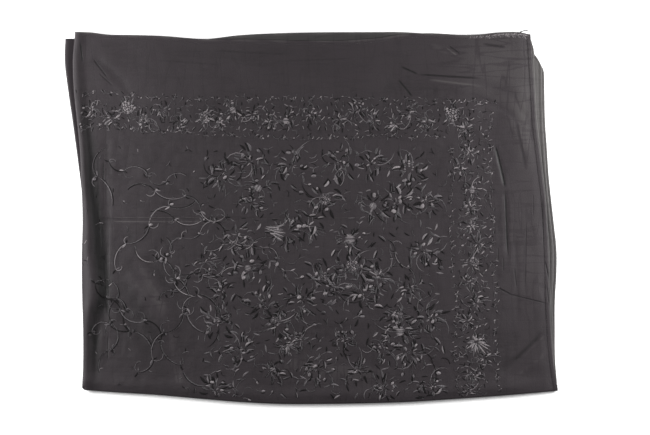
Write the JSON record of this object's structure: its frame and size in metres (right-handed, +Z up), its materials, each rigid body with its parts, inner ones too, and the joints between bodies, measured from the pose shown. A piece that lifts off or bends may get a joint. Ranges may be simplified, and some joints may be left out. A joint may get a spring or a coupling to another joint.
{
  "type": "manila shawl",
  "caption": "Black silk shawl with black floral embroidery, folded flat, its narrow hems at the top and the right.",
  "frame": {"origin": "centre of the folded shawl's outline, on the surface that it lies on", "axes": "+X to the right along the long side, +Y up the shawl towards its top hem, +Z up off the surface"},
  "size_m": [0.7397, 0.558, 0.0114],
  "materials": {
    "embroidered_silk": "black silk crepe with raised black floss silk embroidery",
    "silk_crepe": "black silk crepe, soft low sheen",
    "silk_crepe_fold": "black silk crepe, soft low sheen"
  },
  "bodies": {
    "root": {"front_ply": "embroidered_silk", "folded_plies": "silk_crepe", "rear_fold": "silk_crepe_fold"}
  },
  "joints": []
}
